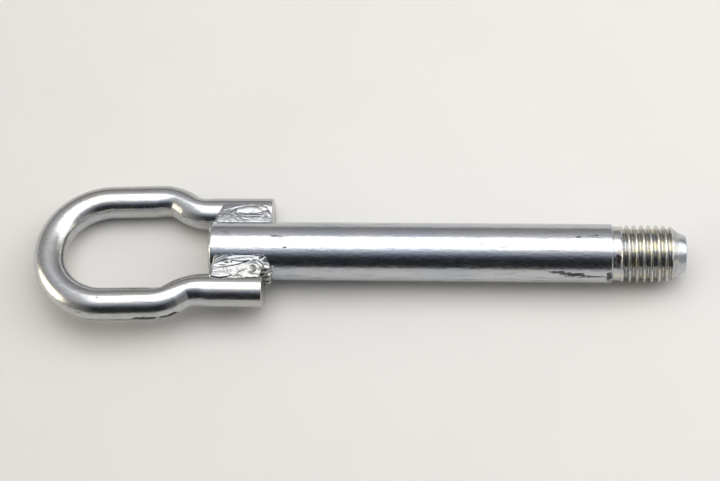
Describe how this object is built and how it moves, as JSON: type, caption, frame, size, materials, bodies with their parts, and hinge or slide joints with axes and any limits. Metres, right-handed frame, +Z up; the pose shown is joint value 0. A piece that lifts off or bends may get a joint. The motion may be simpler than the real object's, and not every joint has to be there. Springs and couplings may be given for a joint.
{
  "type": "tow eye",
  "caption": "Screw-in tow eye: a round bar bent to a U, welded by its joggled legs to a turned shank with a threaded front end.",
  "frame": {"origin": "on the shank's axis, at the front end of its plain part, where the shoulder starts", "axes": "+X along the shank towards the thread, +Z up; the part lies as it rests, on its shank and on the far leg of the eye"},
  "size_m": [0.2285, 0.0549, 0.0205],
  "materials": {
    "turned_steel": "turned steel, bright zinc plated",
    "bent_bar": "drawn bar, bright zinc plated",
    "weld_metal": "rippled weld metal, zinc plated"
  },
  "bodies": {
    "root": {"shank": "turned_steel", "eye_loop": "bent_bar", "weld_near_top": "weld_metal", "weld_far_top": "weld_metal", "weld_near_under": "weld_metal", "weld_far_under": "weld_metal"}
  },
  "joints": []
}
